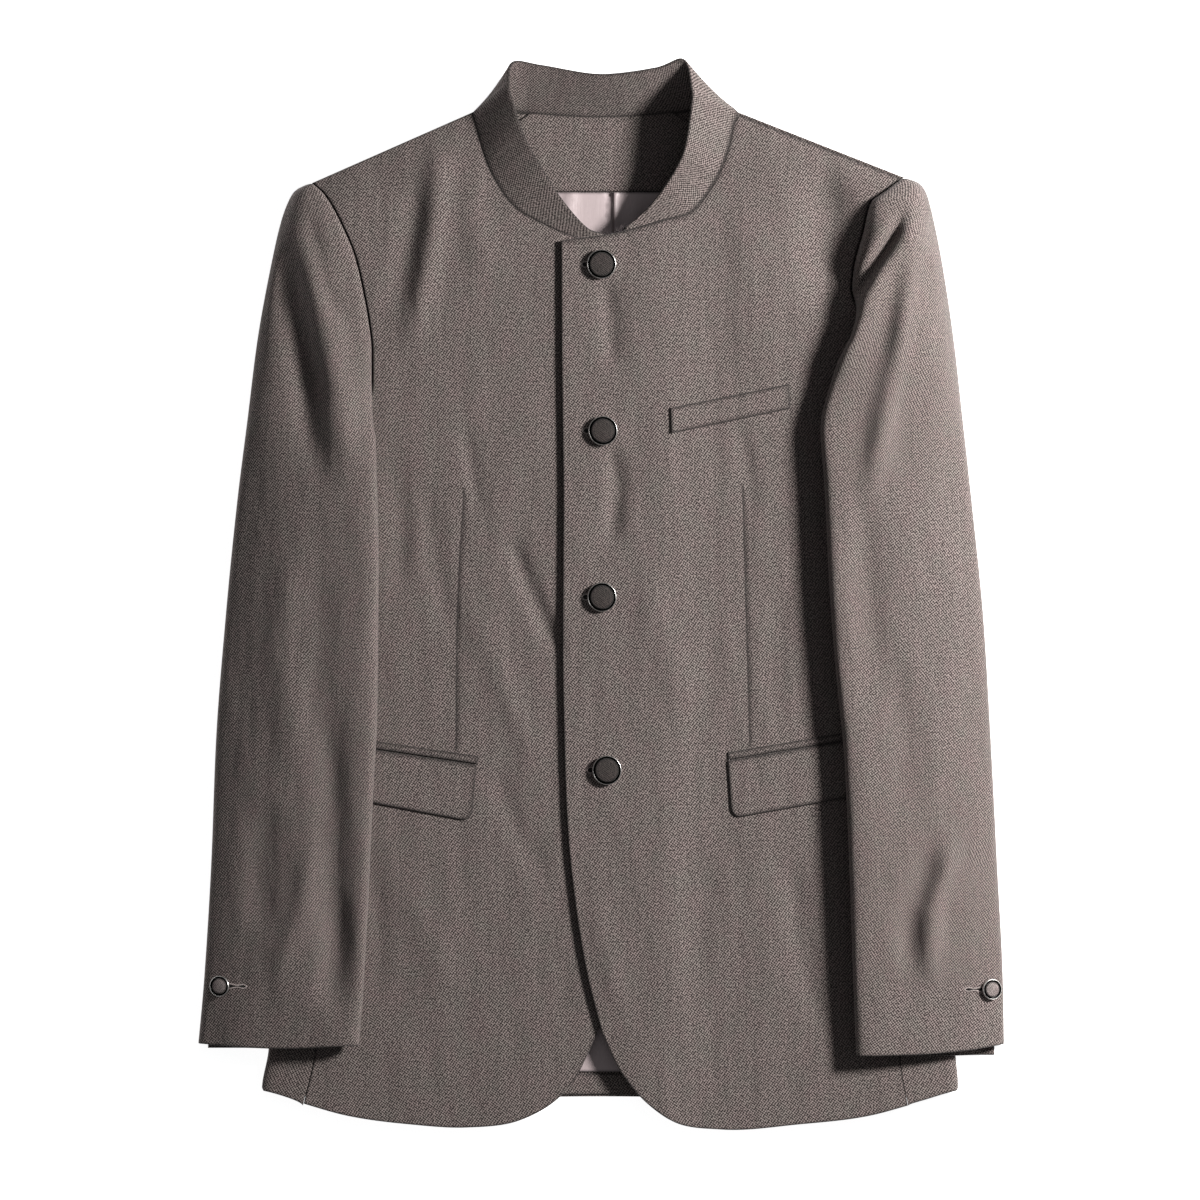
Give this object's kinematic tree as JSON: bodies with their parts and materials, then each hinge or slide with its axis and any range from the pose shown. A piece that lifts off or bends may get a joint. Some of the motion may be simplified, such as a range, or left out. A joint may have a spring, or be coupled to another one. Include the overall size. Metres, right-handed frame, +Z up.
{
  "type": "mao jacket",
  "caption": "Stand-collar jacket in grey-brown twill, buttoned and laid flat on its back, with flap hip pockets, a breast welt, curved front hem and covered buttons.",
  "frame": {"origin": "on the surface the jacket lies on, under the middle of its outline", "axes": "+X towards the wearer's left sleeve, +Y from the hem to the collar, +Z up, out of the jacket's front"},
  "size_m": [0.605, 0.8026, 0.0406],
  "materials": {
    "wool": "grey-brown melange wool twill, matt",
    "lining": "pale dusty pink satin lining",
    "button_rim": "dark silver metal rim, satin",
    "button_face": "dark ribbed cloth set in the rim"
  },
  "bodies": {
    "root": {"back": "wool", "side_panel_right": "wool", "side_panel_left": "wool", "front_right": "wool", "front_left": "wool", "top_sleeve_right": "wool", "top_sleeve_left": "wool", "under_sleeve_right": "wool", "under_sleeve_left": "wool", "collar": "wool", "back_neck_facing": "wool", "back_lining": "lining", "breast_welt": "wool", "pocket_jet_right": "wool", "pocket_jet_left": "wool", "pocket_flap_right": "wool", "pocket_flap_left": "wool", "front_button_1_rim": "button_rim", "front_button_1_cover": "button_face", "front_button_2_rim": "button_rim", "front_button_2_cover": "button_face", "front_button_3_rim": "button_rim", "front_button_3_cover": "button_face", "front_button_4_rim": "button_rim", "front_button_4_cover": "button_face", "sleeve_button_right_rim": "button_rim", "sleeve_button_right_cover": "button_face", "sleeve_button_left_rim": "button_rim", "sleeve_button_left_cover": "button_face"}
  },
  "joints": []
}
